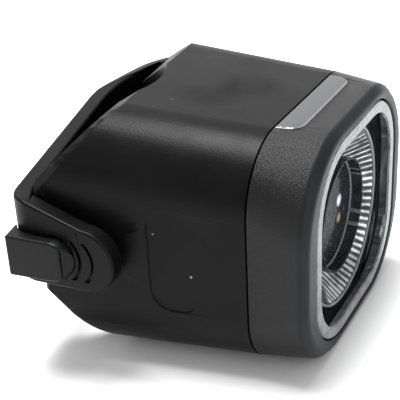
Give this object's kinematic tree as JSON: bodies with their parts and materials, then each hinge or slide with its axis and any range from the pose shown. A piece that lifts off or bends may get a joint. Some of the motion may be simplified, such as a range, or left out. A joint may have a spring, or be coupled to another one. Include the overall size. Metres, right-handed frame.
{
  "type": "bicycle headlight",
  "caption": "Compact rechargeable bicycle headlight: lens front with side windows, curved handlebar seat and a rubber strap that loops round the bar to a hook.",
  "frame": {"origin": "on the axis of the handlebar that the curved seat fits, midway across the light", "axes": "+X towards the lens, +Z across the light along the handlebar, +Y towards the face that is the top in use. The light is stored lying on its -Z side, as in the picture."},
  "size_m": [0.052, 0.0544, 0.0412],
  "materials": {
    "housing": "dark grey moulded shell with a fine grain and pale flecks",
    "bezel": "dark grey moulded frame, smooth band round the lens",
    "seal_rubber": "black soft seal",
    "clear_lens": "clear, polished",
    "reflector_chrome": "bright metal film on moulded plastic",
    "led_package": "pale package with a yellow dome",
    "white_board": "white solder mask",
    "bare_aluminium": "bare, satin",
    "steel_screw": "bright zinc",
    "frosted_window": "frosted, smoky",
    "cell_foil": "foil pouch",
    "foam": "dark foam",
    "inner_plastic": "plain moulded",
    "lead_sleeve": "soft insulation",
    "green_board": "green solder mask",
    "socket_steel": "formed sheet",
    "light_guide": "milky, clear",
    "button_rubber": "soft black",
    "cover_rubber": "soft black",
    "strap_rubber": "soft black, satin",
    "pin_steel": "bright",
    "hook_plastic": "dark grey moulded"
  },
  "bodies": {
    "light": {"rear_housing": "housing", "front_bezel": "bezel", "housing_seal": "seal_rubber", "front_lens": "clear_lens", "lens_gasket": "seal_rubber", "reflector": "reflector_chrome", "collimator": "clear_lens", "led_emitter": "led_package", "led_board": "white_board", "heat_sink": "bare_aluminium", "carrier_screws": "steel_screw", "side_window_upper": "frosted_window", "side_window_lower": "frosted_window", "side_leds": "led_package", "battery_cell": "cell_foil", "battery_pad": "foam", "battery_cradle": "inner_plastic", "battery_leads": "lead_sleeve", "main_board": "green_board", "tact_switch": "inner_plastic", "usb_socket": "socket_steel", "port_cover_anchor": "cover_rubber", "strap": "strap_rubber", "strap_anchor_pin": "pin_steel", "strap_hook": "hook_plastic"},
    "button": {"power_button": "button_rubber", "charge_indicator": "light_guide", "switch_plunger": "inner_plastic"},
    "port_cover": {"port_cover": "cover_rubber"}
  },
  "joints": [
    {"name": "button_press", "type": "slide", "parent": "light", "child": "button", "axis": [-0.0365, -0.9993, 0], "range_m": [0, 0.0005], "stiffness_N_per_m": 2000},
    {"name": "port_cover_open", "type": "hinge", "parent": "light", "child": "port_cover", "pos_m": [0.02193, 0.02669, 0], "axis": [0, 0, -1], "range_deg": [0, 105], "stiffness_Nm_per_rad": 0.0004}
  ]
}
